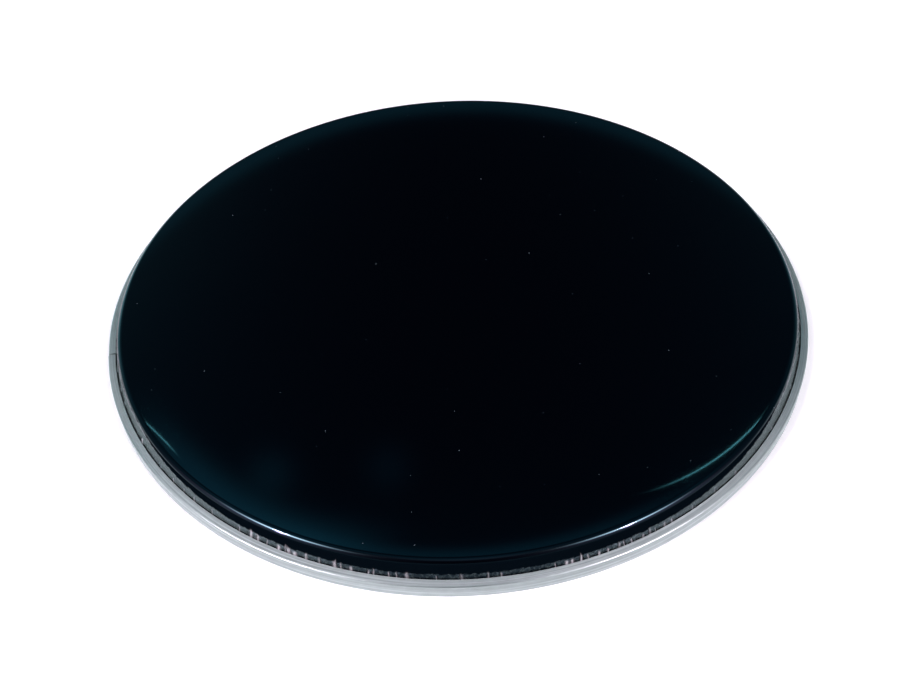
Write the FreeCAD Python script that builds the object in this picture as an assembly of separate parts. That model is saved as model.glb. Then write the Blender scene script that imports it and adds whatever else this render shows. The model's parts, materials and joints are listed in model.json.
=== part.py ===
"""Crimped drum head: a black film whose folded hem is trapped in a rolled aluminium hoop.

Millimetres. The head lies on its hoop: +Z is up through the playing surface, and the
origin is the centre of the hoop's underside. Every ring is one section in the XZ plane,
with X as the radius, turned about Z.
"""
import FreeCAD, Part
import math
import os

INCH = 25.4
SAME_POINT = 1e-6
LONGEST_ARC = math.radians(30)

# Drum that the head fits
shell_diameter = 16 * INCH
shell_clearance = 1.1

# Hoop: an extruded channel with a lip over its mouth, rolled to a ring
hoop_width = 7.5
hoop_height = 8.2
outer_wall = 1.2
inner_wall = 1.0
inner_wall_drop = 2.0
cavity_depth = 5.1
lip_reach = 4.4
lip_thickness = 1.1
crown_radius = 0.9
lip_edge_radius = 0.4
foot_radius = 0.6
joint_gap = 0.5
joint_bearing = 191.7

# Film: one ply, drawn to a flat top with a leaning collar
film_thickness = 0.25
film_height = 18.0
collar_lean = 15.0
shoulder_radius = 3.2
lip_gap = 0.6
tail_rise = 0.4

# Wire in the film's hem
wire_diameter = 3.0
wire_headroom = 0.1
wire_slack = 0.3
hem_room = 0.15

# Resin that sets the hem
resin_drop = 0.5
resin_shrink = 0.1

# Strip that lines up the hoop's two ends
splice_length = 24.0
splice_thickness = 0.8
splice_room = 0.15

# Radii and heights that follow
bore_radius = shell_diameter / 2 + shell_clearance
hoop_radius = bore_radius + hoop_width
cavity_inside = bore_radius + inner_wall
cavity_outside = hoop_radius - outer_wall
lip_radius = hoop_radius - lip_reach
lip_underside = hoop_height - lip_thickness
cavity_floor = lip_underside - cavity_depth
inner_wall_top = hoop_height - inner_wall_drop
wire_radius = wire_diameter / 2
fold_radius = wire_radius + wire_slack
hem_radius = fold_radius + film_thickness
wire_circle = cavity_outside - hem_room - hem_radius
wire_height = lip_underside - wire_headroom - wire_radius
lean_slope = math.tan(math.radians(collar_lean))


def point(radius, height):
    """A point of a section: radius along X, height along Z."""
    return FreeCAD.Vector(radius, 0, height)


def short_arcs(start, middle, end):
    """Edges of an arc, in equal spans short enough to keep thin turned walls apart in a mesh."""
    arc = Part.Arc(start, middle, end)
    turn = arc.LastParameter - arc.FirstParameter
    count = math.ceil(turn / LONGEST_ARC - SAME_POINT)
    bounds = [arc.FirstParameter + turn * i / count for i in range(count + 1)]
    return [arc.toShape(first, last) for first, last in zip(bounds, bounds[1:])]


def rounded(corners, closed):
    """Edges through (radius, height, rounding) corners, each rounding a tangent arc."""
    places = [point(radius, height) for radius, height, rounding in corners]
    count = len(corners)
    starts, ends, arcs = [], [], []
    for i, (radius, height, rounding) in enumerate(corners):
        here = places[i]
        at_end = not closed and i in (0, count - 1)
        if at_end or rounding == 0:
            starts.append(here)
            ends.append(here)
            arcs.append([])
            continue
        before = (places[i - 1] - here).normalize()
        after = (places[(i + 1) % count] - here).normalize()
        half_angle = before.getAngle(after) / 2
        reach = rounding / math.tan(half_angle)
        centre_line = (before + after).normalize()
        middle = here + centre_line * (rounding / math.sin(half_angle) - rounding)
        starts.append(here + before * reach)
        ends.append(here + after * reach)
        arcs.append(short_arcs(starts[i], middle, ends[i]))
    chain = []
    for i in range(count):
        chain += arcs[i]
        following = starts[(i + 1) % count]
        last = i == count - 1 and not closed
        if not last and ends[i].distanceToPoint(following) > SAME_POINT:
            chain.append(Part.makeLine(ends[i], following))
    return chain


def ring(edges, turn=360.0, start=0.0):
    """The closed section turned about Z through an angle from a starting bearing."""
    section = Part.Face(Part.Wire(Part.__sortEdges__(edges)))
    axis = FreeCAD.Vector(0, 0, 1)
    section.rotate(FreeCAD.Vector(), axis, start)
    return section.revolve(FreeCAD.Vector(), axis, turn)


def offset_corners(corners, distance):
    """The corners of a path moved sideways, to the right of its direction."""
    places = [point(radius, height) for radius, height, rounding in corners]
    sides = []
    for first, second in zip(places, places[1:]):
        along = (second - first).normalize()
        sides.append(FreeCAD.Vector(along.z, 0, -along.x))
    moved = []
    for i, (radius, height, rounding) in enumerate(corners):
        left = sides[max(i - 1, 0)]
        right = sides[min(i, len(sides) - 1)]
        step = (left + right) * (distance / (1 + left.dot(right)))
        place = places[i] + step
        turns_right = left.cross(right).y > 0
        change = -distance if turns_right else distance
        moved.append((place.x, place.z, rounding + change if rounding else 0))
    return moved


def hoop_channel():
    """Channel with its mouth upwards and inwards, cut square at the butt joint."""
    corners = [
        (bore_radius, 0, foot_radius),
        (hoop_radius, 0, foot_radius),
        (hoop_radius, hoop_height, crown_radius),
        (lip_radius, hoop_height, lip_edge_radius),
        (lip_radius, lip_underside, lip_edge_radius),
        (cavity_outside, lip_underside, 0),
        (cavity_outside, cavity_floor, 0),
        (cavity_inside, cavity_floor, 0),
        (cavity_inside, inner_wall_top, 0),
        (bore_radius, inner_wall_top, 0),
    ]
    gap_angle = math.degrees(joint_gap / hoop_radius)
    return ring(rounded(corners, True), 360 - gap_angle, joint_bearing + gap_angle / 2)


def film_path():
    """Outer face of the film, from the centre of the head to the end of its hem."""
    mouth = lip_radius - lip_gap
    corner = mouth - (film_height - hoop_height) * lean_slope
    entry = mouth + lip_thickness * lean_slope
    fold_inside = wire_circle - fold_radius
    fold_outside = wire_circle + fold_radius
    fold_top = wire_height + fold_radius / 2
    fold_bottom = wire_height - fold_radius
    return [
        (0, film_height, 0),
        (corner, film_height, shoulder_radius),
        (entry, lip_underside, 0),
        (fold_inside, fold_top, 0),
        (fold_inside, fold_bottom, fold_radius),
        (fold_outside, fold_bottom, fold_radius),
        (fold_outside, wire_height + tail_rise, 0),
    ]


def drum_film():
    """One ply of film, thickened inwards from its outer face."""
    outer = film_path()
    inner = offset_corners(outer, film_thickness)
    edges = rounded(outer, False) + rounded(inner, False)
    for first, second in ((outer[0], inner[0]), (outer[-1], inner[-1])):
        edges.append(Part.makeLine(point(*first[:2]), point(*second[:2])))
    return ring(edges)


def lock_wire():
    """Closed ring of round wire in the fold of the film."""
    centre = point(wire_circle, wire_height)
    circle = Part.Circle(centre, FreeCAD.Vector(0, 1, 0), wire_radius)
    return ring([circle.toShape()])


def joint_splice():
    """Strip on the channel's floor, half of it on each side of the butt joint."""
    inside = cavity_inside + splice_room
    outside = cavity_outside - splice_room
    top = cavity_floor + splice_thickness
    corners = [
        (inside, cavity_floor, 0),
        (outside, cavity_floor, 0),
        (outside, top, 0),
        (inside, top, 0),
    ]
    angle = math.degrees(splice_length / wire_circle)
    return ring(rounded(corners, True), angle, joint_bearing - angle / 2)


def resin_bed(splice):
    """Resin on the channel's floor and up behind the hem, in three flats round the hem."""
    level = inner_wall_top - resin_drop
    bed_radius = hem_radius + resin_shrink
    half_flat = bed_radius * math.tan(math.radians(45 / 2))
    bed_top = wire_height - bed_radius
    hem_back = wire_circle - bed_radius
    corners = [
        (cavity_inside, cavity_floor, 0),
        (cavity_outside, cavity_floor, 0),
        (cavity_outside, bed_top, 0),
        (wire_circle - half_flat, bed_top, 0),
        (hem_back, wire_height - half_flat, 0),
        (hem_back, level, 0),
        (cavity_inside, level, 0),
    ]
    return ring(rounded(corners, True)).cut(splice)


def main():
    """Build each piece and write it to its own file."""
    os.makedirs("parts", exist_ok=True)
    splice = joint_splice()
    pieces = {
        "drum_film": drum_film(),
        "hoop_channel": hoop_channel(),
        "lock_wire": lock_wire(),
        "resin_bed": resin_bed(splice),
        "joint_splice": splice,
    }
    for name, shape in pieces.items():
        shape.exportStep("parts/" + name + ".step")
        print(name, "valid", shape.isValid(), "volume", round(shape.Volume, 1))


main()
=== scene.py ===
"""Looks of a drum head: a glossy black film gathered into a satin aluminium hoop.

Metres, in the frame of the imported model: +Z is up through the playing surface, and the
origin is under the centre of the hoop. Bearings turn about +Z from +X.
"""
import json
import math
import random

import bpy
from bpy.props import FloatProperty, FloatVectorProperty, IntProperty, PointerProperty
from mathutils import Matrix, Vector


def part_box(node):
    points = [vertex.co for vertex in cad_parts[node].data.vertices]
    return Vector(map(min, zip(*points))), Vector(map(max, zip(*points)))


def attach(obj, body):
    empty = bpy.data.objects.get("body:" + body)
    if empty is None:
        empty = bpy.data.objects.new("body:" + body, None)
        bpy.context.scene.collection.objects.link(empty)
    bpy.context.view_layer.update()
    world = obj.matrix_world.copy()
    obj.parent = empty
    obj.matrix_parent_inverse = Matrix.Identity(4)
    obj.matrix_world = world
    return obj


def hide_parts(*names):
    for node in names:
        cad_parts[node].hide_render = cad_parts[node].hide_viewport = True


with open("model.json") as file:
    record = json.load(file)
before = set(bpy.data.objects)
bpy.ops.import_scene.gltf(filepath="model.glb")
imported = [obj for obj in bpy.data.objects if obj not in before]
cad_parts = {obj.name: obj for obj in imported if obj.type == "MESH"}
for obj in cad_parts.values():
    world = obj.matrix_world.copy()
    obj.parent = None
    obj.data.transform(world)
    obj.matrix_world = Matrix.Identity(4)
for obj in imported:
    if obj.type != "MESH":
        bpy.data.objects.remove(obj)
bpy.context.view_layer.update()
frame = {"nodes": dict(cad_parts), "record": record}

bl_info = {
    "name": "Drum head",
    "version": (1, 0, 0),
    "blender": (4, 5, 0),
    "location": "3D View > Sidebar > Drum head",
    "description": "Builds the film, the hoop, the hidden pieces and the studio of a drum head",
    "category": "Object",
}

MM = 0.001
MOUNTS = {mount["name"]: mount for mount in frame["record"]["mounts"]}
HOOP_RADIUS = MOUNTS["counterhoop_pilot"]["dims"]["r_mm"] * MM
BORE_RADIUS = MOUNTS["shell_bore"]["dims"]["r_mm"] * MM
HOOP_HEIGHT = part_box("hoop_channel")[1].z
FILM_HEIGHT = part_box("drum_film")[1].z
WIRE_LOW, WIRE_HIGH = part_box("lock_wire")
WIRE_RADIUS = (WIRE_HIGH.z - WIRE_LOW.z) / 2
WIRE_LEVEL = (WIRE_HIGH.z + WIRE_LOW.z) / 2
WIRE_CIRCLE = WIRE_HIGH.x - WIRE_RADIUS

# Gathers of the film at the hoop's mouth, in groups across the front and sparse at the back.
# Each group has its first and last bearing in degrees, its count and the strength of its painted glints.
GATHER_GROUPS = ((209, 233, 8, 0.6), (236, 263, 17, 1.0), (265, 276, 4, 0.5), (281, 300, 15, 0.9))
TALL_GATHERS = (238.5, 244.5, 252, 285)
TALL_REACH = 1.5
BACK_SPACING = (2.5, 6.0)
BACK_PAINTED_GLINT = 0.3

# How gathers differ: shares of the usual spacing, depth, width, reach, painted glint and the stroke it is
# painted in
PLACE_SPREAD = (0.2, 0.8)
DEPTH_SPREAD = (0.5, 1.3)
WIDTH_SPREAD = (0.75, 1.3)
REACH_SPREAD = (0.5, 1.2)
PAINTED_GLINT_SPREAD = (0.4, 1.0)
STROKE_SPREAD = (0.8, 1.0, 2.4)
SLANT_SPREAD = (-0.25, 0.25)

# Shape across a gather, in half widths of its crease: a painted glint, a white stroke, lies on one flank
CREASE_SPAN = 2.8
CREASE_SHARPNESS = 2
FLANK_PLACE = 1.6
FLANK_SHARE = 0.75
STROKE_PLACE = 0.9
STROKE_WIDTH = 0.5

# A gather fades out over the last part of its reach, and fills a share of the lip's gap at most
FADE_START = 0.55
LIP_ROOM = 0.8

# Ripples between the gathers: waves round the collar, share of a gather's depth, reach, and
# weight of that reach beside those of the gathers
RIPPLES = (163, 211, 257)
RIPPLE_SHARE = 0.25
RIPPLE_REACH = 1.4 * MM
RIPPLE_WEIGHT = 0.05

# Fineness of the meshes
PLAIN_STEP = 1.8 * MM
CREASE_STEPS = 4
FLAT_MARGIN = 0.6 * MM
COLLAR_ROWS = 12
COLLAR_CROWDING = 1.4
SHOULDER_POINTS = 8
FOLD_POINTS = 2
HOOP_STEPS = 900
CROWN_POINTS = 7
EDGE_POINTS = 4
FLOOR_SIDES = 96
MERGE_DISTANCE = 0.005 * MM
SHARP_ANGLE = math.radians(40)

# Numbers that the points of a section and of a path hold while a piece is turned
FIELDS = (
    "rounding", "arc_points", "section_radius", "section_height",
    "bearing", "gather_depth", "gather_reach", "gather_slant", "gather_mark",
)
# Number that the points of a finished piece keep for its material: how much painted glint they carry
PAINTED_GLINT_MARK = "whitening"

# Hoop: length of the end that springs in at the joint, and a reach far past its section
END_LENGTH = 18 * MM
WHOLE_SECTION = 1.0

# Film: grain that hazes it, drawn coarser than the real one so that it shows, and dust, with
# no speck in a share of the cells
FILM_IOR = 1.5
FILM_ROUGHNESS = (0.02, 0.15)
GRAIN_SIZE = 0.3 * MM
GRAIN_BAND = (0.58, 0.62)
SPECK_SPACING = 24 * MM
SPECK_RADIUS = 0.3 * MM
SPECK_ROUGHNESS = 0.6
BARE_CELLS = 0.55

# Gloss of the film: high on the top and the shoulder, none on the drawn collar, full at its base.
# The drawn part, where a teal sheen is painted, starts between two depths below the top.
TOP_GLOSS = 0.8
DRAWN_TOP = (1.55 * MM, 1.05 * MM)

# Base of the collar: rise above the hoop at the front, growth towards the back, soft edge, size
# and depth of its waves, and the mottled scuffs in it, which carry a painted reflection of the hoop
BASE_RISE = 2.6 * MM
BASE_GROWTH = 25 * MM
BASE_EDGE = 0.5 * MM
WAVE_SIZE = 2.5 * MM
WAVE_DEPTH = 2.4 * MM
SLOT_SHADE = 0.3 * MM
SCUFF_SIZE = 1.4 * MM
SCUFF_BAND = (0.45, 0.65)
SCUFF_ROUGHNESS = 0.25

# Spans from 0 at the front of the head to 2 at its back: where the base's painted reflection and gloss grow
# from their share at the front, and where the painted reflection at the sides starts and ends
FRONT_DIMMING_SPAN = (0.0, 0.1)
FRONT_BASE_SHARE = 0.45
SIDE_REFLECTION_SPAN = (0.04, 0.26)
SIDE_REFLECTION_END = (1.15, 1.5)

# Lines of the metals: pitch, roughness of the bright and the dull ones, and drift along the
# bearing, where less makes longer lines
HOOP_LINES = (0.9 * MM, (0.6, 1.0), 0.0015)
WIRE_LINES = (0.3 * MM, (0.2, 0.36), 0.003)
STRIP_LINES = (0.5 * MM, (0.3, 0.55), 0.01)
LINE_BAND = (0.4, 0.6)
LINE_RELIEF = 0.35
RELIEF_DEPTH = 0.02 * MM
ANISOTROPY = 0.5
QUARTER_TURN = 0.25
BLOTCH_SIZE = 5 * MM
BLOTCH_SHARE = 0.3
SHADE_BAND = (0.3, 0.7)
SHADE_RANGE = (0.78, 1.0)

# Crown of the hoop that handling has rubbed bright, from a share of its radius outwards
RUB_SHARE = 0.7
RUB_EDGE = 0.1 * MM
RUB_ROUGHNESS = 0.38

# Resin
RESIN_IOR = 1.55
RESIN_ROUGHNESS = 0.3
CLOUD_SIZE = 6 * MM
CLOUD_SHADE = (0.7, 1.15)
BUBBLE_SPACING = 0.8 * MM
BUBBLE_RELIEF = 0.3

# Camera and key lamps, hard and round, one on each side of the camera
FRONT = math.radians(-90)
SENSOR_WIDTH = 36
CLIP_START = 0.01
KEY_DISTANCE = 2.0
KEY_WIDTH = 0.13
KEY_BRIGHTNESS = 150

# Floor: just under the hoop, turning to plain white between two distances from the axis
FLOOR_DROP = 0.05 * MM
FADE_NEAR = 0.35
FADE_FAR = 1.2

# Brightness of the walls by the sine of the elevation
WALL_STOPS = (
    (0.0, "#ffffff"),
    (0.08, "#e2f2f0"),
    (0.22, "#4a7478"),
    (0.4, "#08131a"),
    (1.0, "#03080c"),
)
# Soft lights on the walls and the ceiling: bearing and elevation in degrees, sharpness,
# brightness and colour
GLOWS = (
    (201, 52, 100, 24.0, "#f4f6fa"),
    (330, 53, 100, 19.0, "#f4f6fa"),
    (206, 31, 16, 0.85, "#eed8fa"),
    (326, 31, 16, 0.75, "#eed8fa"),
    (150, 38, 12, 0.1, "#6be0ff"),
    (30, 38, 12, 0.08, "#6be0ff"),
    (130, 16, 30, 1.1, "#a8f0fa"),
    (50, 16, 30, 0.5, "#a8f0fa"),
    (107.1, 50.5, 4000, 0.09, "#6be0ff"),
    (96.8, 51.5, 4000, 0.04, "#6be0ff"),
    (270, 82, 30, 0.3, "#c0dcf4"),
    (90, 76, 40, 0.15, "#6be0ff"),
)
# Lights along arcs, from hair lines to broad bands: bearing and elevation of both ends and of
# the middle, sharpness along the arc, half its width as an angle, brightness and colour
ARCS = (
    ((71.22, 51.78), (65.01, 46.59), (67.57, 49.59), 560, 0.0003, 10.0, "#a0ffff"),
    ((115.25, 45.5), (113.93, 47.59), (114.62, 46.43), 4500, 0.0003, 7.0, "#a0ffff"),
    ((107.47, 34.75), (70.76, 35.32), (88.38, 31.52), 6, 0.009, 0.12, "#6be0ff"),
    ((115.11, 44.6), (103.26, 54.78), (109.7, 52.2), 150, 0.017, 0.28, "#6be0ff"),
    ((103.81, 54.84), (76.19, 54.84), (90.0, 56.8), 40, 0.008, 0.19, "#6be0ff"),
    ((124.0, 60.0), (178.0, 60.0), (146.0, 64.0), 30, 0.2, 0.25, "#6be0ff"),
    ((56.0, 60.0), (2.0, 60.0), (34.0, 64.0), 30, 0.2, 0.16, "#6be0ff"),
    ((184.5, 61.0), (217.9, 16.1), (207.2, 45.6), 60, 0.016, 36.0, "#ffc4f0"),
    ((347.5, 64.5), (314.6, 17.9), (325.1, 48.5), 60, 0.016, 36.0, "#ffc4f0"),
)


def linear(code):
    """The linear red, green and blue of an sRGB hex colour such as #8090a0."""
    shares = [int(code[i:i + 2], 16) / 255 for i in (1, 3, 5)]
    return tuple(s / 12.92 if s <= 0.04045 else ((s + 0.055) / 1.055) ** 2.4 for s in shares)


def opaque(values):
    """A colour with full alpha, for a colour socket."""
    return (*values, 1.0)


def length(name, description, default):
    """A property that holds a length in metres."""
    return FloatProperty(name=name, description=description, default=default, unit="LENGTH", precision=5)


def angle(name, description, degrees):
    """A property that holds an angle, given in degrees."""
    return FloatProperty(name=name, description=description, default=math.radians(degrees), subtype="ANGLE")


def number(name, description, default):
    """A property that holds a plain number."""
    return FloatProperty(name=name, description=description, default=default, precision=4)


def colour(name, description, code):
    """A property that holds a colour, given as an sRGB hex value."""
    return FloatVectorProperty(
        name=name, description=description, default=linear(code), subtype="COLOR", size=3, min=0, max=1
    )


class FilmSettings(bpy.types.PropertyGroup):
    """Sizes and colours of the film."""

    height: length("Height", "Playing surface above the hoop's underside", FILM_HEIGHT)
    thickness: length("Thickness", "One ply of film", 0.25 * MM)
    lean: angle("Collar lean", "Lean of the collar from upright", 15)
    shoulder: length("Shoulder radius", "Rounding between the top and the collar", 3.2 * MM)
    lip_gap: length("Lip gap", "Slot between the collar and the hoop's lip", 0.6 * MM)
    wire_slack: length("Wire slack", "Room between the wire and the fold", 0.3 * MM)
    tail_rise: length("Tail rise", "End of the hem above the wire's centre", 0.4 * MM)
    gather_depth: length("Gather depth", "How far a gather is drawn in", 0.45 * MM)
    gather_width: length("Gather width", "Half the width of a gather's crease", 0.55 * MM)
    gather_reach: length("Gather reach", "How far a gather runs up the collar", 3.2 * MM)
    seed: IntProperty(name="Seed", description="Start of the random gathers", default=7)
    black: colour("Film", "Colour of the film", "#010104")
    dust: colour("Dust", "Colour of the specks on the film", "#5d686c")
    sheen: colour("Sheen", "Tint of what the film mirrors", "#c0e8ff")
    # The collar colour is a teal sheen painted on the drawn collar
    collar: colour("Collar", "Painted teal sheen on the drawn collar", "#050d13")
    # Scuffs, with a mottled grey reflection of the hoop painted over them
    scuff_and_reflection: colour("Scuffs and reflection", "Colour of the scuffs on the collar's base, with a painted reflection of the hoop", "#414c4a")
    # A brighter reflection of the hoop, painted on the collar's base at both sides
    side_reflection: colour("Side reflection", "Colour of the reflection painted on the collar's base at the sides", "#57625f")
    # Colour of the glints painted as white strokes beside the gathers' creases
    crease: colour("Painted glints", "Colour of the glints painted beside the creases", "#f2f0f2")


class HoopSettings(bpy.types.PropertyGroup):
    """Sizes and colours of the hoop."""

    radius: length("Outer radius", "Outside of the hoop", HOOP_RADIUS)
    bore: length("Bore radius", "Inside of the hoop, round the shell", BORE_RADIUS)
    height: length("Height", "Top of the hoop above its underside", HOOP_HEIGHT)
    outer_wall: length("Outer wall", "Thickness of the outer wall", 1.2 * MM)
    inner_wall: length("Inner wall", "Thickness of the inner wall", 1.0 * MM)
    inner_height: length("Inner wall height", "Top of the inner wall", 6.2 * MM)
    floor: length("Floor", "Thickness of the channel's floor", 2.0 * MM)
    lip_reach: length("Lip reach", "Outside of the hoop to the edge of its lip", 4.4 * MM)
    lip_thickness: length("Lip thickness", "Thickness of the lip", 1.1 * MM)
    crown: length("Crown radius", "Rounding of the top outer edge", 0.9 * MM)
    lip_edge: length("Lip edge radius", "Rounding of the lip's edges", 0.4 * MM)
    bead: length("Bead", "Raised edge of the lip above the top", 0.14 * MM)
    bead_width: length("Bead width", "Width of the raised edge", 0.55 * MM)
    foot: length("Foot radius", "Rounding of the bottom edges", 0.6 * MM)
    joint_gap: length("Joint gap", "Open gap of the butt joint", 0.9 * MM)
    joint_bearing: angle("Joint bearing", "Where the butt joint lies", 191.7)
    end_step: length("End step", "How far one end stands in at the joint", 0.2 * MM)
    metal: colour("Aluminium", "Colour of the bare metal", "#ccd8d6")


class InnerSettings(bpy.types.PropertyGroup):
    """Colours of the pieces inside the hoop."""

    steel: colour("Wire", "Colour of the drawn steel wire", "#8d8f92")
    resin: colour("Resin", "Colour of the cast resin", "#a08a5c")
    strip: colour("Splice", "Colour of the mill-finish strip", "#c3c5c8")


class StudioSettings(bpy.types.PropertyGroup):
    """Camera, lamps and floor."""

    camera_distance: length("Camera distance", "Camera to the origin under the head", 3.0 * HOOP_RADIUS)
    camera_elevation: angle("Camera elevation", "Camera above the floor", 42.33)
    camera_pan: number("Camera pan", "Aim to the right, per unit ahead", -0.007)
    camera_tilt: number("Camera tilt", "Aim upwards, per unit ahead", -0.0382)
    camera_roll: angle("Camera roll", "Turn of the camera about its aim", -2.96)
    lens: number("Lens", "Focal length in millimetres", 40.44)
    floor_radius: length("Floor radius", "Radius of the floor", 12.0)
    floor: colour("Floor", "Colour of the floor", "#dfdfe1")
    floor_lift: number("Floor lift", "Glow that brings the floor to white", 0.36)
    left_key: angle("Left key", "Left key lamp to the left of the camera", 64)
    right_key: angle("Right key", "Right key lamp to the right of the camera", 54)
    key_elevation: angle("Key elevation", "Key lamps above the floor", 50)
    key_tint: colour("Key colour", "Colour of the key lamps", "#ffdce6")


def add(tree, kind, feeds=(), **settings):
    """A new node with its settings, and its inputs given values or linked to nodes or sockets.

    feeds goes by the names of inputs, or in the order of those that the settings leave in
    use. A node feeds through the first of its outputs in use.
    """
    node = tree.nodes.new(kind)
    for name, value in settings.items():
        setattr(node, name, value)
    if isinstance(feeds, dict):
        pairs = [(node.inputs[name], feed) for name, feed in feeds.items()]
    else:
        pairs = zip([socket for socket in node.inputs if socket.enabled], feeds)
    for socket, feed in pairs:
        if isinstance(feed, bpy.types.Node):
            feed = next(output for output in feed.outputs if output.enabled)
        if isinstance(feed, bpy.types.NodeSocket):
            tree.links.new(feed, socket)
        else:
            socket.default_value = feed
    return node


def wire_mesh(name, points, closed, **numbers):
    """A mesh of points joined in a row, with a number at each point for every named list."""
    mesh = bpy.data.meshes.new(name)
    count = len(points)
    edges = [(i, (i + 1) % count) for i in range(count if closed else count - 1)]
    mesh.from_pydata(points, edges, [])
    for key, values in numbers.items():
        mesh.attributes.new(key, "FLOAT", "POINT").data.foreach_set("value", values)
    return mesh


def ring_points(radius, bearings, height=0.0):
    """Points round the axis, one at each bearing."""
    return [(radius * math.cos(bearing), radius * math.sin(bearing), height) for bearing in bearings]


def turned_section_tree():
    """Tree that rounds a section's corners and turns it along a path of bearings.

    The section lies in the XZ plane with X as the radius. Each point of the path has a bearing
    and a gather: a radial shift and a painted glint that fade out above the lip, and a slant.
    """
    tree = bpy.data.node_groups.new("Turned section", "GeometryNodeTree")
    sockets = (
        ("Section", "NodeSocketGeometry"),
        ("Path", "NodeSocketObject"),
        ("Lip top", "NodeSocketFloat"),
        ("Merge distance", "NodeSocketFloat"),
        ("Material", "NodeSocketMaterial"),
    )
    for name, kind in sockets:
        tree.interface.new_socket(name, in_out="INPUT", socket_type=kind)
    tree.interface.new_socket("Piece", in_out="OUTPUT", socket_type="NodeSocketGeometry")
    given = add(tree, "NodeGroupInput").outputs
    field = {name: add(tree, "GeometryNodeInputNamedAttribute", {"Name": name}) for name in FIELDS}

    # The section with rounded corners, its radius and height kept at each point, along the path
    outline = add(tree, "GeometryNodeMeshToCurve", {"Mesh": given["Section"]})
    profile = add(
        tree, "GeometryNodeFilletCurve",
        {"Curve": outline, "Radius": field["rounding"], "Count": field["arc_points"], "Limit Radius": True},
        mode="POLY",
    )
    place = add(tree, "GeometryNodeInputPosition")
    across = add(tree, "ShaderNodeSeparateXYZ", (place,)).outputs
    for name, axis in (("section_radius", "X"), ("section_height", "Z")):
        profile = add(
            tree, "GeometryNodeStoreNamedAttribute",
            {"Geometry": profile, "Name": name, "Value": across[axis]},
        )
    path = add(tree, "GeometryNodeObjectInfo", {"Object": given["Path"]}).outputs["Geometry"]
    rail = add(tree, "GeometryNodeMeshToCurve", {"Mesh": path})
    swept = add(
        tree, "GeometryNodeCurveToMesh", {"Curve": rail, "Profile Curve": profile, "Fill Caps": True}
    )

    # Radius and bearing of each point, moved by the gather as far as it reaches
    rise = add(tree, "ShaderNodeMath", (field["section_height"], given["Lip top"]), operation="SUBTRACT")
    fade_start = add(tree, "ShaderNodeMath", (field["gather_reach"], FADE_START), operation="MULTIPLY")
    fade = add(
        tree, "ShaderNodeMapRange", (rise, fade_start, field["gather_reach"], 1.0, 0.0),
        interpolation_type="SMOOTHSTEP",
    )
    # Share of painted glint, fading out with the gather
    glint_share = add(tree, "ShaderNodeMath", (field["gather_mark"], fade), operation="MULTIPLY")
    shift = add(tree, "ShaderNodeMath", (field["gather_depth"], fade), operation="MULTIPLY")
    radius = add(tree, "ShaderNodeMath", (field["section_radius"], shift), operation="ADD")
    above_lip = add(tree, "ShaderNodeMath", (rise, 0.0), operation="MAXIMUM")
    climb = add(tree, "ShaderNodeMath", (above_lip, fade), operation="MULTIPLY")
    bearing = add(
        tree, "ShaderNodeMath", (climb, field["gather_slant"], field["bearing"]), operation="MULTIPLY_ADD"
    )
    cosine = add(tree, "ShaderNodeMath", (bearing,), operation="COSINE")
    sine = add(tree, "ShaderNodeMath", (bearing,), operation="SINE")
    along_x = add(tree, "ShaderNodeMath", (radius, cosine), operation="MULTIPLY")
    along_y = add(tree, "ShaderNodeMath", (radius, sine), operation="MULTIPLY")
    turned = add(tree, "ShaderNodeCombineXYZ", (along_x, along_y, field["section_height"]))

    shaped = add(tree, "GeometryNodeSetPosition", {"Geometry": swept, "Position": turned})
    marked = add(
        tree, "GeometryNodeStoreNamedAttribute", {"Geometry": shaped, "Name": PAINTED_GLINT_MARK, "Value": glint_share}
    )
    closed = add(
        tree, "GeometryNodeMergeByDistance", {"Geometry": marked, "Distance": given["Merge distance"]}
    )
    real = add(tree, "GeometryNodeRealizeInstances", {"Geometry": closed})
    dressed = add(tree, "GeometryNodeSetMaterial", {"Geometry": real, "Material": given["Material"]})
    add(tree, "NodeGroupOutput", {"Piece": dressed})
    return tree


def turned_piece(name, section, path, lip_top, material, thickness=0.0):
    """An object made by turning a section along a path, as a plain mesh at the origin.

    A section of one line gets its thickness on its inner side.
    """
    tree = turned_section_tree()
    path_object = bpy.data.objects.new(name + "_path", path)
    piece = bpy.data.objects.new(name, section)
    for helper in (path_object, piece):
        bpy.context.scene.collection.objects.link(helper)
    given = {"Path": path_object, "Lip top": lip_top, "Merge distance": MERGE_DISTANCE, "Material": material}
    turning = piece.modifiers.new("Turned section", "NODES")
    turning.node_group = tree
    for socket in tree.interface.items_tree:
        if socket.name in given:
            turning[socket.identifier] = given[socket.name]
    if thickness:
        wall = piece.modifiers.new("Wall", "SOLIDIFY")
        wall.thickness = thickness
        wall.offset = -1
        wall.use_even_offset = True
    bpy.context.view_layer.update()
    made = piece.evaluated_get(bpy.context.evaluated_depsgraph_get())
    mesh = bpy.data.meshes.new_from_object(made)
    piece.modifiers.clear()
    piece.data = mesh
    mesh.name = name
    for field in FIELDS:
        if field in mesh.attributes:
            mesh.attributes.remove(mesh.attributes[field])
    mesh.shade_smooth()
    mesh.set_sharp_from_angle(angle=SHARP_ANGLE)
    bpy.data.objects.remove(path_object)
    bpy.data.meshes.remove(section)
    bpy.data.node_groups.remove(tree)
    return piece


def section_mesh(name, corners, closed):
    """The wire of a section from (radius, height, rounding, points on the arc) corners."""
    radii, heights, roundings, arc_points = zip(*corners)
    points = [(radius, 0, height) for radius, height in zip(radii, heights)]
    return wire_mesh(name, points, closed, rounding=roundings, arc_points=arc_points)


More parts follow.
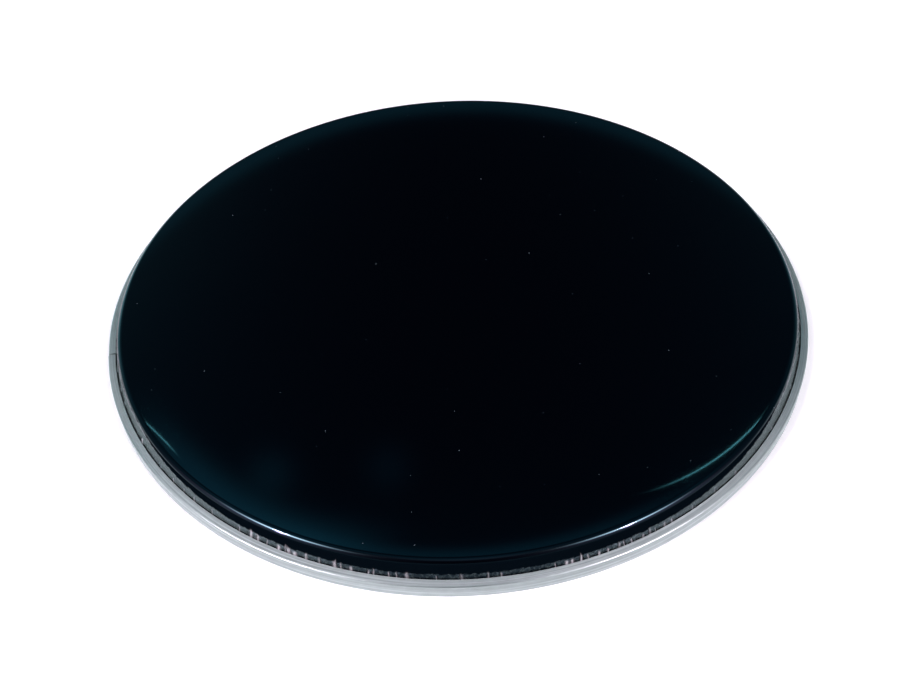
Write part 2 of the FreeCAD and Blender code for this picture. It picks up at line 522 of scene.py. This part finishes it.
def gathers(film):
    """Every gather round the collar, as (bearing, depth, width, reach, slant, stroke, painted glint)."""
    draw = random.Random(film.seed)
    places = [(bearing, 1.0) for bearing in TALL_GATHERS]
    for first, last, count, whitening in GATHER_GROUPS:
        step = (last - first) / count
        places += [(first + step * (i + draw.uniform(*PLACE_SPREAD)), whitening) for i in range(count)]
    bearing = GATHER_GROUPS[-1][1]
    while bearing < GATHER_GROUPS[0][0] + 360 - BACK_SPACING[1]:
        bearing += draw.uniform(*BACK_SPACING)
        places.append((bearing, BACK_PAINTED_GLINT))
    found = []
    for bearing, whitening in sorted(places):
        depth = film.gather_depth * draw.uniform(*DEPTH_SPREAD)
        width = film.gather_width * draw.uniform(*WIDTH_SPREAD)
        reach = film.gather_reach * draw.uniform(*REACH_SPREAD)
        if bearing in TALL_GATHERS:
            reach = film.gather_reach * TALL_REACH
        slant = draw.uniform(*SLANT_SPREAD)
        stroke = STROKE_WIDTH * draw.choice(STROKE_SPREAD)
        whitening *= draw.uniform(*PAINTED_GLINT_SPREAD)
        found.append((math.radians(bearing), depth, width, reach, slant, stroke, whitening))
    return found


def crease(x):
    """Radial shift across one gather, in depths: drawn in along the crease, full beside it."""
    flanks = sum(math.exp(-CREASE_SHARPNESS * (x - place) ** 2) for place in (FLANK_PLACE, -FLANK_PLACE))
    return FLANK_SHARE * flanks - math.exp(-CREASE_SHARPNESS * x * x)


def ripple(bearing):
    """Shallow waviness of the collar's edge between the gathers, from -1 to 1."""
    return sum(math.sin(count * bearing + count) for count in RIPPLES) / len(RIPPLES)


def turn_between(first, second):
    """Smallest turn from one bearing to another."""
    return (second - first + math.pi) % (2 * math.pi) - math.pi


def film_path(film, hoop):
    """Closed path of bearings, close together across each gather."""
    radius = hoop.radius - hoop.lip_reach - film.lip_gap
    found = gathers(film)
    steps = round(2 * math.pi * radius / PLAIN_STEP)
    bearings = [2 * math.pi * i / steps for i in range(steps)]
    for centre, depth, width, *rest in found:
        half = CREASE_SPAN * width / radius
        bearings = [bearing for bearing in bearings if abs(turn_between(centre, bearing)) > half]
        bearings += [centre + half * i / CREASE_STEPS for i in range(-CREASE_STEPS, CREASE_STEPS + 1)]
    bearings = sorted(bearing % (2 * math.pi) for bearing in bearings)
    depths, reaches, slants, marks = [], [], [], []
    for bearing in bearings:
        shift = film.gather_depth * RIPPLE_SHARE * ripple(bearing)
        weight, reach_sum, slant_sum, glint_share = RIPPLE_WEIGHT, RIPPLE_WEIGHT * RIPPLE_REACH, 0.0, 0.0
        for centre, depth, width, reach, slant, stroke, whitening in found:
            away = turn_between(centre, bearing) * radius / width
            if abs(away) < 2 * CREASE_SPAN:
                near = math.exp(-away * away / CREASE_SPAN)
                shift += depth * crease(away)
                # Painted glint: a white stroke on the flank on the side of the gather's slant
                off_stroke = (away - math.copysign(STROKE_PLACE, slant)) / stroke
                glint_share = max(glint_share, whitening * math.exp(-off_stroke * off_stroke))
                weight += near
                reach_sum += near * reach
                slant_sum += near * slant / radius
        depths.append(min(shift, film.lip_gap * LIP_ROOM))
        reaches.append(reach_sum / weight)
        slants.append(slant_sum / weight)
        marks.append(glint_share)
    return wire_mesh(
        "film_path", ring_points(radius, bearings), True,
        bearing=bearings, gather_depth=depths, gather_reach=reaches, gather_slant=slants, gather_mark=marks,
    )


def film_section(film, hoop):
    """Outer face of the film, from its centre to the end of its hem."""
    slope = math.tan(film.lean)
    mouth = hoop.radius - hoop.lip_reach - film.lip_gap
    corner = mouth - (film.height - hoop.height) * slope
    tangent = film.shoulder * math.tan((math.pi / 2 - film.lean) / 2)
    flat_end = corner - tangent - FLAT_MARGIN
    collar = film.height - tangent * math.cos(film.lean) - FLAT_MARGIN - hoop.height
    rises = [collar * (1 - i / COLLAR_ROWS) ** COLLAR_CROWDING for i in range(COLLAR_ROWS + 1)]
    fold = WIRE_RADIUS + film.wire_slack
    fold_inside, fold_outside = WIRE_CIRCLE - fold, WIRE_CIRCLE + fold
    fold_bottom = WIRE_LEVEL - fold
    corners = [
        (0, film.height, 0, 0),
        (flat_end / 2, film.height, 0, 0),
        (flat_end, film.height, 0, 0),
        (corner, film.height, film.shoulder, SHOULDER_POINTS),
    ]
    corners += [(mouth - rise * slope, hoop.height + rise, 0, 0) for rise in rises]
    corners += [
        (mouth + hoop.lip_thickness * slope, hoop.height - hoop.lip_thickness, 0, 0),
        (fold_inside, WIRE_LEVEL + fold / 2, 0, 0),
        (fold_inside, fold_bottom, fold, FOLD_POINTS),
        (fold_outside, fold_bottom, fold, FOLD_POINTS),
        (fold_outside, WIRE_LEVEL + film.tail_rise, 0, 0),
    ]
    return section_mesh("film_section", corners, False)


def hoop_path(hoop):
    """Open path of bearings, from one end of the hoop round to the other, which stands in a little."""
    gap = hoop.joint_gap / hoop.radius
    turn = 2 * math.pi - gap
    shares = [i / HOOP_STEPS for i in range(HOOP_STEPS + 1)]
    bearings = [hoop.joint_bearing + gap / 2 + turn * share for share in shares]
    to_end = [turn * (1 - share) * hoop.radius / END_LENGTH for share in shares]
    sprung = [-hoop.end_step * math.exp(-away * away) for away in to_end]
    plain = [0.0] * len(bearings)
    return wire_mesh(
        "hoop_path", ring_points(hoop.radius, bearings), False,
        bearing=bearings, gather_depth=sprung, gather_reach=[WHOLE_SECTION] * len(bearings),
        gather_slant=plain, gather_mark=plain,
    )


def hoop_section(hoop):
    """Channel with its mouth upwards and inwards."""
    inside, outside = hoop.bore + hoop.inner_wall, hoop.radius - hoop.outer_wall
    lip = hoop.radius - hoop.lip_reach
    underside = hoop.height - hoop.lip_thickness
    corners = [
        (hoop.bore, hoop.inner_height, 0, 0),
        (inside, hoop.inner_height, 0, 0),
        (inside, hoop.floor, 0, 0),
        (outside, hoop.floor, 0, 0),
        (outside, underside, 0, 0),
        (lip, underside, hoop.lip_edge, EDGE_POINTS),
        (lip, hoop.height - hoop.bead, hoop.bead, EDGE_POINTS),
        (lip + hoop.bead_width / 2, hoop.height + hoop.bead, hoop.bead, EDGE_POINTS),
        (lip + hoop.bead_width, hoop.height, hoop.lip_edge, EDGE_POINTS),
        (hoop.radius, hoop.height, hoop.crown, CROWN_POINTS),
        (hoop.radius, 0, hoop.foot, EDGE_POINTS),
        (hoop.bore, 0, hoop.foot, EDGE_POINTS),
    ]
    return section_mesh("hoop_section", corners, True)


def start_material(name):
    """A material with an empty node tree."""
    material = bpy.data.materials.new(name)
    material.use_nodes = True
    material.node_tree.nodes.clear()
    return material, material.node_tree


def film_material(film, hoop):
    """Polyester film, cast as one black ply: a bluish mirror with faint haze and a few dust specks.

    The collar is drawn thin, which dulls it below the shoulder, and a teal sheen is painted on it.
    Its base is scuffed and shines again, higher up at the sides than at the front, and a mottled
    reflection of the hoop is painted over the scuffs, weaker at the front. A brighter painted
    reflection lies on the base at both sides and none at the back, and glints are painted as
    white strokes beside the gathers' creases.
    """
    material, tree = start_material("Black polyester film")
    place = add(tree, "ShaderNodeTexCoord").outputs["Object"]
    across = add(tree, "ShaderNodeSeparateXYZ", (place,)).outputs
    drawn_low, drawn_high = (film.height - depth for depth in DRAWN_TOP)

    # Dust: a speck in the middle of some cells, larger where chance makes it so
    cells = add(
        tree, "ShaderNodeTexVoronoi", {"Vector": place, "Scale": 1 / SPECK_SPACING}, voronoi_dimensions="2D"
    ).outputs
    chance = add(tree, "ShaderNodeSeparateColor", (cells["Color"],))
    size = add(tree, "ShaderNodeMapRange", (chance, BARE_CELLS, 1, 0, SPECK_RADIUS / SPECK_SPACING))
    speck = add(tree, "ShaderNodeMath", (cells["Distance"], size), operation="LESS_THAN")

    # Height of the base, which grows towards the back, with a wavy edge
    from_front = add(tree, "ShaderNodeMath", (across["Y"], 1 / hoop.radius, 1.0), operation="MULTIPLY_ADD")
    squared = add(tree, "ShaderNodeMath", (from_front, from_front), operation="MULTIPLY")
    growth = add(tree, "ShaderNodeMath", (squared, BASE_GROWTH), operation="MULTIPLY")
    grown = add(tree, "ShaderNodeMath", (growth, hoop.height + BASE_RISE), operation="ADD")
    base_top = add(tree, "ShaderNodeMath", (grown, drawn_low), operation="MINIMUM")
    waves = add(tree, "ShaderNodeTexNoise", {"Vector": place, "Scale": 1 / WAVE_SIZE})
    wave = add(tree, "ShaderNodeMapRange", (waves, 0, 1, -WAVE_DEPTH / 2, WAVE_DEPTH / 2))
    wavy_height = add(tree, "ShaderNodeMath", (across["Z"], wave), operation="ADD")
    above_base = add(tree, "ShaderNodeMath", (wavy_height, base_top), operation="SUBTRACT")

    # Strength of the base, which sets its painted reflections and its gloss: only a share at the front, and
    # falling off down to the shade in the hoop's mouth
    above_slot = add(tree, "ShaderNodeMapRange", (across["Z"], hoop.height - SLOT_SHADE, hoop.height, 0, 1))
    front_dimming = add(tree, "ShaderNodeMapRange", (from_front, *FRONT_DIMMING_SPAN, FRONT_BASE_SHARE, 1))
    base_strength = add(tree, "ShaderNodeMath", (above_slot, front_dimming), operation="MULTIPLY")
    in_base = add(tree, "ShaderNodeMapRange", (above_base, -BASE_EDGE, 0, 1, 0))
    base = add(tree, "ShaderNodeMath", (in_base, base_strength), operation="MULTIPLY")
    # Mottled scuffs on the base: they rough it and carry a painted grey reflection of the hoop
    grit = add(tree, "ShaderNodeTexNoise", {"Vector": place, "Scale": 1 / SCUFF_SIZE})
    scuffed = add(tree, "ShaderNodeMapRange", (grit, *SCUFF_BAND, 0, 1))
    scuff_and_reflection = add(tree, "ShaderNodeMath", (base, scuffed), operation="MULTIPLY")
    # Painted reflection on the base: none at the very front, full at both sides and gone at the back
    side_start = add(tree, "ShaderNodeMapRange", (from_front, *SIDE_REFLECTION_SPAN, 0, 1))
    side_end = add(tree, "ShaderNodeMapRange", (from_front, *SIDE_REFLECTION_END, 1, 0))
    at_sides = add(tree, "ShaderNodeMath", (side_start, side_end), operation="MULTIPLY")
    side_reflection_share = add(tree, "ShaderNodeMath", (base, at_sides), operation="MULTIPLY")

    # Colour, each layer over the ones before it: a painted teal sheen on the collar, dust, scuffs with a
    # painted reflection of the hoop, a painted reflection at the sides and painted glints
    # Painted teal sheen over the drawn collar, below the top and the shoulder
    drawn = add(tree, "ShaderNodeMapRange", (across["Z"], drawn_low, drawn_high, 1, 0))
    # Painted glints: white strokes beside the creases, kept on the points of the film
    painted_glints = add(tree, "ShaderNodeAttribute", attribute_name=PAINTED_GLINT_MARK).outputs["Fac"]
    layers = (
        (drawn, film.collar),
        (speck, film.dust),
        (scuff_and_reflection, film.scuff_and_reflection),
        (side_reflection_share, film.side_reflection),
        (painted_glints, film.crease),
    )
    tint = opaque(film.black)
    for share, tone in layers:
        tint = add(tree, "ShaderNodeMix", (share, tint, opaque(tone)), data_type="RGBA")

    # Roughness, and the gloss that is lost where the collar is drawn
    grain = add(tree, "ShaderNodeTexNoise", {"Vector": place, "Scale": 1 / GRAIN_SIZE})
    plain = add(tree, "ShaderNodeMapRange", (grain, *GRAIN_BAND, *FILM_ROUGHNESS))
    dusty = add(tree, "ShaderNodeMath", (speck, SPECK_ROUGHNESS), operation="MULTIPLY")
    duller = add(tree, "ShaderNodeMath", (plain, dusty), operation="MAXIMUM")
    roughness = add(tree, "ShaderNodeMath", (scuff_and_reflection, SCUFF_ROUGHNESS, duller), operation="MULTIPLY_ADD")
    top_gloss = add(tree, "ShaderNodeMapRange", (across["Z"], drawn_low, drawn_high, 0, TOP_GLOSS))
    gloss = add(tree, "ShaderNodeMath", (base, top_gloss), operation="MAXIMUM")
    shader = add(
        tree, "ShaderNodeBsdfPrincipled",
        {
            "Base Color": tint, "Roughness": roughness, "IOR": FILM_IOR,
            "Specular IOR Level": gloss, "Specular Tint": opaque(film.sheen),
        },
    )
    add(tree, "ShaderNodeOutputMaterial", {"Surface": shader})
    return material


def metal_material(name, tone, finish, rubbed=None):
    """Bare metal with fine lines along the way it was drawn, rolled or extruded.

    The lines run round the ring, bright and dull by turns. finish is their pitch, their two
    roughnesses and their drift along the bearing. rubbed is the radius and the height beyond
    which handling has rubbed an outer edge bright.
    """
    pitch, (bright, dull), drift = finish
    material, tree = start_material(name)
    place = add(tree, "ShaderNodeTexCoord").outputs["Object"]
    across = add(tree, "ShaderNodeSeparateXYZ", (place,)).outputs
    flat = add(tree, "ShaderNodeCombineXYZ", (across["X"], across["Y"]))
    radius = add(tree, "ShaderNodeVectorMath", (flat,), operation="LENGTH")
    bearing = add(tree, "ShaderNodeMath", (across["Y"], across["X"]), operation="ARCTAN2")
    along = add(tree, "ShaderNodeMath", (bearing, drift), operation="MULTIPLY")
    unrolled = add(tree, "ShaderNodeCombineXYZ", (radius, along, across["Z"]))
    lines = add(tree, "ShaderNodeTexNoise", {"Vector": unrolled, "Scale": 1 / pitch, "Detail": 2.0})
    blotches = add(tree, "ShaderNodeTexNoise", {"Vector": place, "Scale": 1 / BLOTCH_SIZE, "Detail": 4.0})
    uneven = add(tree, "ShaderNodeMix", (BLOTCH_SHARE, lines, blotches))
    shade = add(tree, "ShaderNodeMapRange", (uneven, *SHADE_BAND, *SHADE_RANGE))
    tint = add(tree, "ShaderNodeMix", (1.0, opaque(tone), shade), data_type="RGBA", blend_type="MULTIPLY")
    satin = add(tree, "ShaderNodeMapRange", (lines, *LINE_BAND, dull, bright))
    if rubbed:
        beyond = [
            add(tree, "ShaderNodeMapRange", (value, limit - RUB_EDGE, limit + RUB_EDGE))
            for value, limit in zip((radius, across["Z"]), rubbed)
        ]
        rub = add(tree, "ShaderNodeMath", beyond, operation="MINIMUM")
        satin = add(tree, "ShaderNodeMix", (rub, satin, RUB_ROUGHNESS))
    relief = add(tree, "ShaderNodeBump", {"Strength": LINE_RELIEF, "Distance": RELIEF_DEPTH, "Height": lines})
    round_ring = add(tree, "ShaderNodeTangent", direction_type="RADIAL", axis="Z")
    shader = add(
        tree, "ShaderNodeBsdfPrincipled",
        {
            "Base Color": tint, "Metallic": 1.0, "Roughness": satin, "Normal": relief,
            "Anisotropic": ANISOTROPY, "Anisotropic Rotation": QUARTER_TURN, "Tangent": round_ring,
        },
    )
    add(tree, "ShaderNodeOutputMaterial", {"Surface": shader})
    return material


def resin_material(inner):
    """Cast resin: amber, half glossy, with cloudy mixing and small bubbles under its skin."""
    material, tree = start_material("Cast polyester resin")
    place = add(tree, "ShaderNodeTexCoord").outputs["Object"]
    clouds = add(tree, "ShaderNodeTexNoise", {"Vector": place, "Scale": 1 / CLOUD_SIZE, "Detail": 3.0})
    shade = add(tree, "ShaderNodeMapRange", (clouds, 0, 1, *CLOUD_SHADE))
    tint = add(
        tree, "ShaderNodeMix", (1.0, opaque(inner.resin), shade), data_type="RGBA", blend_type="MULTIPLY"
    )
    bubbles = add(tree, "ShaderNodeTexVoronoi", {"Vector": place, "Scale": 1 / BUBBLE_SPACING})
    relief = add(
        tree, "ShaderNodeBump", {"Strength": BUBBLE_RELIEF, "Distance": RELIEF_DEPTH, "Height": bubbles}
    )
    shader = add(
        tree, "ShaderNodeBsdfPrincipled",
        {"Base Color": tint, "Roughness": RESIN_ROUGHNESS, "IOR": RESIN_IOR, "Normal": relief},
    )
    add(tree, "ShaderNodeOutputMaterial", {"Surface": shader})
    return material


def direction(bearing, elevation):
    """Unit vector towards a bearing and an elevation."""
    level = math.cos(elevation)
    return Vector((level * math.cos(bearing), level * math.sin(bearing), math.sin(elevation)))


def add_camera(studio):
    """Camera over the near edge of the head, aimed a little below its middle."""
    ahead = -direction(FRONT, studio.camera_elevation)
    right = Vector((1, 0, 0))
    up = right.cross(ahead)
    aim = (ahead + studio.camera_pan * right + studio.camera_tilt * up).normalized()
    right = aim.cross(up).normalized()
    up = right.cross(aim)
    roll = Matrix.Rotation(studio.camera_roll, 3, -aim)
    axes = Matrix((roll @ right, roll @ up, -aim)).transposed()
    lens = bpy.data.cameras.new("Camera")
    lens.lens = studio.lens
    lens.sensor_width = SENSOR_WIDTH
    lens.sensor_fit = "HORIZONTAL"
    lens.clip_start = CLIP_START
    camera = bpy.data.objects.new("Camera", lens)
    camera.matrix_world = Matrix.Translation(-ahead * studio.camera_distance) @ axes.to_4x4()
    bpy.context.scene.collection.objects.link(camera)
    bpy.context.scene.camera = camera


def add_key_lamps(studio):
    """The same round lamp to the left and to the right of the camera, facing the head."""
    for name, bearing in (("Left key", FRONT - studio.left_key), ("Right key", FRONT + studio.right_key)):
        place = direction(bearing, studio.key_elevation) * KEY_DISTANCE
        light = bpy.data.lights.new(name, "AREA")
        light.shape = "DISK"
        light.size = KEY_WIDTH
        # Power of a disk of that brightness: pi for its spread, times its area
        light.energy = KEY_BRIGHTNESS * math.pi * (math.pi * KEY_WIDTH ** 2 / 4)
        light.color = studio.key_tint
        lamp = bpy.data.objects.new(name, light)
        facing = place.to_track_quat("Z", "Y").to_matrix().to_4x4()
        lamp.matrix_world = Matrix.Translation(place) @ facing
        lamp.visible_camera = False
        bpy.context.scene.collection.objects.link(lamp)


def on_wall(bearing, elevation):
    """Unit vector towards a place on the walls, given in degrees."""
    return direction(math.radians(bearing), math.radians(elevation))


def brightened(tree, light, exponent, brightness, tone):
    """The light so far, with a colour added that fades out as the exponent falls below zero."""
    glow = add(tree, "ShaderNodeMath", (exponent,), operation="EXPONENT")
    tint = Vector(linear(tone)) * brightness
    return add(tree, "ShaderNodeVectorMath", (glow, tint, light), operation="MULTIPLY_ADD")


def add_world():
    """Studio walls: white at the floor's edge, falling off to a dim ceiling, with lights on them."""
    world = bpy.data.worlds.new("Studio")
    world.use_nodes = True
    tree = world.node_tree
    tree.nodes.clear()
    towards = add(tree, "ShaderNodeTexCoord").outputs["Generated"]
    height = add(tree, "ShaderNodeSeparateXYZ", (towards,)).outputs["Z"]
    light = add(tree, "ShaderNodeValToRGB", (height,))
    stops = light.color_ramp.elements
    for place, tone in WALL_STOPS[1:-1]:
        stops.new(place)
    for stop, (place, tone) in zip(stops, WALL_STOPS):
        stop.position = place
        stop.color = opaque(linear(tone))
    for bearing, elevation, sharpness, brightness, tone in GLOWS:
        centre = on_wall(bearing, elevation)
        near = add(tree, "ShaderNodeVectorMath", (towards, centre), operation="DOT_PRODUCT")
        fall = add(tree, "ShaderNodeMath", (near, sharpness, -sharpness), operation="MULTIPLY_ADD")
        light = brightened(tree, light, fall, brightness, tone)
    for *places, sharpness, half_width, brightness, tone in ARCS:
        first, last, middle = (on_wall(*place) for place in places)
        axis = (middle - first).cross(last - middle).normalized()
        level = axis.dot(middle)
        width = half_width * math.sqrt(1 - level * level)
        beside = add(tree, "ShaderNodeVectorMath", (towards, axis), operation="DOT_PRODUCT")
        off_arc = add(tree, "ShaderNodeMath", (beside, 1 / width, -level / width), operation="MULTIPLY_ADD")
        near = add(tree, "ShaderNodeVectorMath", (towards, middle), operation="DOT_PRODUCT")
        off_middle = add(tree, "ShaderNodeMath", (near, sharpness, -sharpness), operation="MULTIPLY_ADD")
        along = add(tree, "ShaderNodeMath", (off_middle, off_middle), operation="MULTIPLY")
        squares = add(tree, "ShaderNodeMath", (off_arc, off_arc, along), operation="MULTIPLY_ADD")
        fall = add(tree, "ShaderNodeMath", (squares, -1.0), operation="MULTIPLY")
        light = brightened(tree, light, fall, brightness, tone)
    walls = add(tree, "ShaderNodeBackground", {"Color": light})
    add(tree, "ShaderNodeOutputWorld", {"Surface": walls})
    bpy.context.scene.world = world


def floor_material(studio):
    """Pale matt floor that runs out to plain white."""
    material, tree = start_material("Pale matt floor")
    place = add(tree, "ShaderNodeTexCoord").outputs["Object"]
    away = add(tree, "ShaderNodeVectorMath", (place,), operation="LENGTH")
    fade = add(tree, "ShaderNodeMapRange", (away, FADE_NEAR, FADE_FAR), interpolation_type="SMOOTHSTEP")
    ray = add(tree, "ShaderNodeLightPath").outputs
    seen = add(tree, "ShaderNodeMath", (ray["Is Camera Ray"], ray["Is Glossy Ray"]), operation="ADD")
    shown = add(
        tree, "ShaderNodeMath", (seen, ray["Is Transmission Ray"]), operation="ADD", use_clamp=True
    )
    lift = add(tree, "ShaderNodeMath", (shown, studio.floor_lift), operation="MULTIPLY")
    matt = add(tree, "ShaderNodeBsdfDiffuse", {"Color": opaque(studio.floor)})
    glow = add(tree, "ShaderNodeEmission", {"Strength": lift})
    near = add(tree, "ShaderNodeAddShader", (matt, glow))
    far = add(tree, "ShaderNodeEmission", {"Strength": shown})
    surface = add(tree, "ShaderNodeMixShader", (fade, near, far))
    add(tree, "ShaderNodeOutputMaterial", {"Surface": surface})
    return material


def add_floor(studio):
    """Round floor just under the hoop."""
    mesh = bpy.data.meshes.new("Floor")
    bearings = [2 * math.pi * i / FLOOR_SIDES for i in range(FLOOR_SIDES)]
    mesh.from_pydata(ring_points(studio.floor_radius, bearings, -FLOOR_DROP), [], [range(FLOOR_SIDES)])
    mesh.materials.append(floor_material(studio))
    floor = bpy.data.objects.new("Floor", mesh)
    bpy.context.scene.collection.objects.link(floor)


class DRUMHEAD_OT_film(bpy.types.Operator):
    """Make the film, with its gathers at the hoop's mouth and its folded hem"""

    bl_idname = "drum_head.film"
    bl_label = "Film"

    def execute(self, context):
        film, hoop = context.scene.drum_head_film, context.scene.drum_head_hoop
        piece = turned_piece(
            "black_film", film_section(film, hoop), film_path(film, hoop), hoop.height,
            film_material(film, hoop), film.thickness,
        )
        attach(piece, "root")
        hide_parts("drum_film")
        return {"FINISHED"}


class DRUMHEAD_OT_hoop(bpy.types.Operator):
    """Make the rolled hoop, open at its butt joint"""

    bl_idname = "drum_head.hoop"
    bl_label = "Hoop"

    def execute(self, context):
        hoop = context.scene.drum_head_hoop
        # Extruded and satin-etched aluminium: fine lines round the ring, soft broad highlights.
        # Real die lines are about 0.1 mm apart; they are drawn coarser so that they show.
        rubbed = (hoop.radius - hoop.crown * RUB_SHARE, hoop.height - hoop.crown * RUB_SHARE)
        metal = metal_material("Satin extruded aluminium", hoop.metal, HOOP_LINES, rubbed)
        piece = turned_piece("rolled_hoop", hoop_section(hoop), hoop_path(hoop), hoop.height, metal)
        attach(piece, "root")
        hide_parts("hoop_channel")
        return {"FINISHED"}


class DRUMHEAD_OT_inner(bpy.types.Operator):
    """Finish the wire, the resin and the splice inside the hoop"""

    bl_idname = "drum_head.inner"
    bl_label = "Inner pieces"

    def execute(self, context):
        inner = context.scene.drum_head_inner
        finishes = {
            # Drawn wire: bright, with long fine die marks, drawn coarser so that they show
            "lock_wire": metal_material("Drawn steel wire", inner.steel, WIRE_LINES),
            "resin_bed": resin_material(inner),
            # Rolled strip: dull mill finish with short rolling marks, drawn coarser too
            "joint_splice": metal_material("Mill-finish aluminium", inner.strip, STRIP_LINES),
        }
        for node, finish in finishes.items():
            for slot in frame["nodes"][node].material_slots:
                slot.material = finish
        return {"FINISHED"}


class DRUMHEAD_OT_studio(bpy.types.Operator):
    """Set up the floor, the lamps, the walls and the camera"""

    bl_idname = "drum_head.studio"
    bl_label = "Studio"

    def execute(self, context):
        studio = context.scene.drum_head_studio
        context.scene.view_settings.view_transform = "Standard"
        add_floor(studio)
        add_world()
        add_key_lamps(studio)
        add_camera(studio)
        return {"FINISHED"}


class DRUMHEAD_PT_sidebar(bpy.types.Panel):
    """Buttons and sizes of the drum head"""

    bl_idname = "DRUMHEAD_PT_sidebar"
    bl_label = "Drum head"
    bl_space_type = "VIEW_3D"
    bl_region_type = "UI"
    bl_category = "Drum head"

    def draw(self, context):
        for operator, group in zip(OPERATORS, SETTINGS):
            box = self.layout.box()
            box.operator(operator.bl_idname)
            settings = getattr(context.scene, group)
            for name in settings.__annotations__:
                box.prop(settings, name)


SETTINGS = {
    "drum_head_film": FilmSettings,
    "drum_head_hoop": HoopSettings,
    "drum_head_inner": InnerSettings,
    "drum_head_studio": StudioSettings,
}
OPERATORS = (DRUMHEAD_OT_film, DRUMHEAD_OT_hoop, DRUMHEAD_OT_inner, DRUMHEAD_OT_studio)
CLASSES = (*SETTINGS.values(), *OPERATORS, DRUMHEAD_PT_sidebar)


def register():
    """Add the classes and give each scene its settings."""
    for each in CLASSES:
        bpy.utils.register_class(each)
    for name, group in SETTINGS.items():
        setattr(bpy.types.Scene, name, PointerProperty(type=group))


def unregister():
    """Take the settings and the classes away again."""
    for name in SETTINGS:
        delattr(bpy.types.Scene, name)
    for each in reversed(CLASSES):
        bpy.utils.unregister_class(each)


def main():
    """Build everything in order."""
    register()
    bpy.ops.drum_head.film()
    bpy.ops.drum_head.hoop()
    bpy.ops.drum_head.inner()
    bpy.ops.drum_head.studio()


if __name__ == "__main__":
    main()
